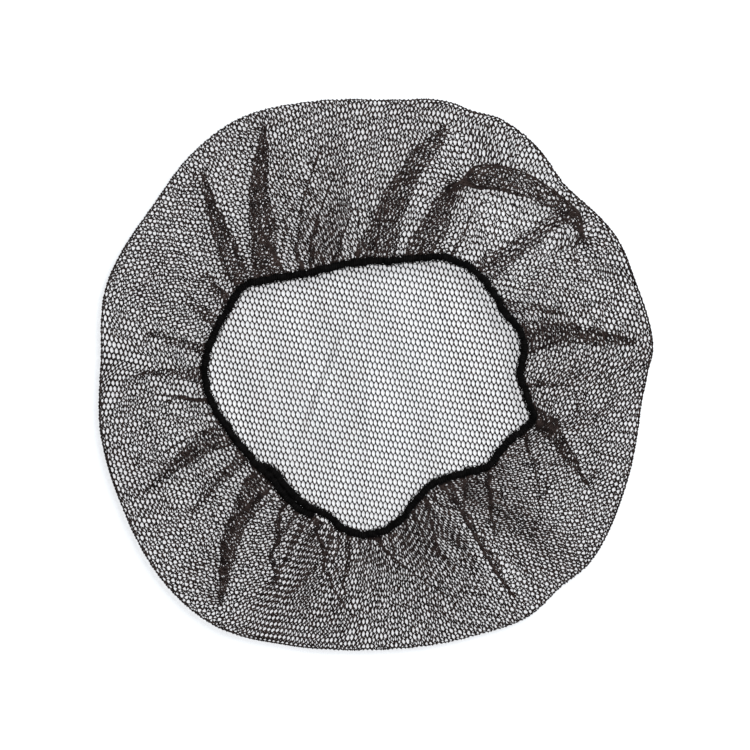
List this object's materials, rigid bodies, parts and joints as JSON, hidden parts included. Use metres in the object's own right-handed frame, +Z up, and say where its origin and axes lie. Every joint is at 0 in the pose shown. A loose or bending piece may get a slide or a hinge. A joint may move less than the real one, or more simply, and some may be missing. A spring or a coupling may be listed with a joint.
{
  "type": "hairnet",
  "caption": "Round bouffant hairnet of fine open netting lying flat with its mouth up, gathered into a soft elastic band that closes round the head.",
  "frame": {"origin": "on the surface it lies on, under the middle of the cap", "axes": "+Z up out of the mouth, +X to the right and +Y to the back as the net lies in plan, so the lapped ends of the elastic are at front left"},
  "size_m": [0.259, 0.2575, 0.0143],
  "materials": {
    "netting": "matte knitted nylon net, near black with a brown tint",
    "elastic": "matte black covered elastic, oversewn with fuzzy thread"
  },
  "bodies": {
    "root": {"net_cap": "netting", "elastic_band": "elastic"}
  },
  "joints": []
}
